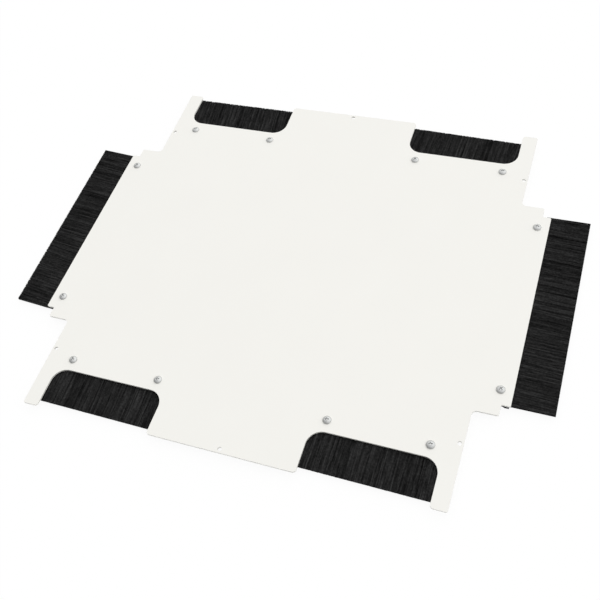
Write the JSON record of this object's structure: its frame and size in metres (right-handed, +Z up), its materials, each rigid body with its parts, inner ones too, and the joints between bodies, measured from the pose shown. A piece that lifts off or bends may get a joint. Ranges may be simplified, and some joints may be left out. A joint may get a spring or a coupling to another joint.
{
  "type": "brush cable entry panel",
  "caption": "Flat white sheet-metal panel with open notches and side tongues, each fitted with a black bristle strip that closes round the cables entering a cabinet.",
  "frame": {"origin": "below the middle of the panel, at the level of the screw tips that it rests on", "axes": "+X to the right, across the two side brushes; +Y to the rear; +Z up, out of the face that the screw heads sit on"},
  "size_m": [0.6, 0.4696, 0.0111],
  "materials": {
    "white_powder_coat": "satin powder coat with a fine orange peel",
    "black_coated_steel": "thin black coat on folded steel sheet",
    "black_nylon": "densely packed extruded nylon filaments",
    "galvanised_wire": "dull galvanised wire",
    "bright_zinc": "bright zinc plate"
  },
  "bodies": {
    "root": {"cover_plate": "white_powder_coat", "front_left_clamp": "black_coated_steel", "front_left_bristles": "black_nylon", "front_left_core_wire": "galvanised_wire", "front_right_clamp": "black_coated_steel", "front_right_bristles": "black_nylon", "front_right_core_wire": "galvanised_wire", "rear_left_clamp": "black_coated_steel", "rear_left_bristles": "black_nylon", "rear_left_core_wire": "galvanised_wire", "rear_right_clamp": "black_coated_steel", "rear_right_bristles": "black_nylon", "rear_right_core_wire": "galvanised_wire", "left_clamp": "black_coated_steel", "left_bristles": "black_nylon", "left_core_wire": "galvanised_wire", "right_clamp": "black_coated_steel", "right_bristles": "black_nylon", "right_core_wire": "galvanised_wire", "pan_head_screws": "bright_zinc", "hex_nuts": "bright_zinc"}
  },
  "joints": []
}
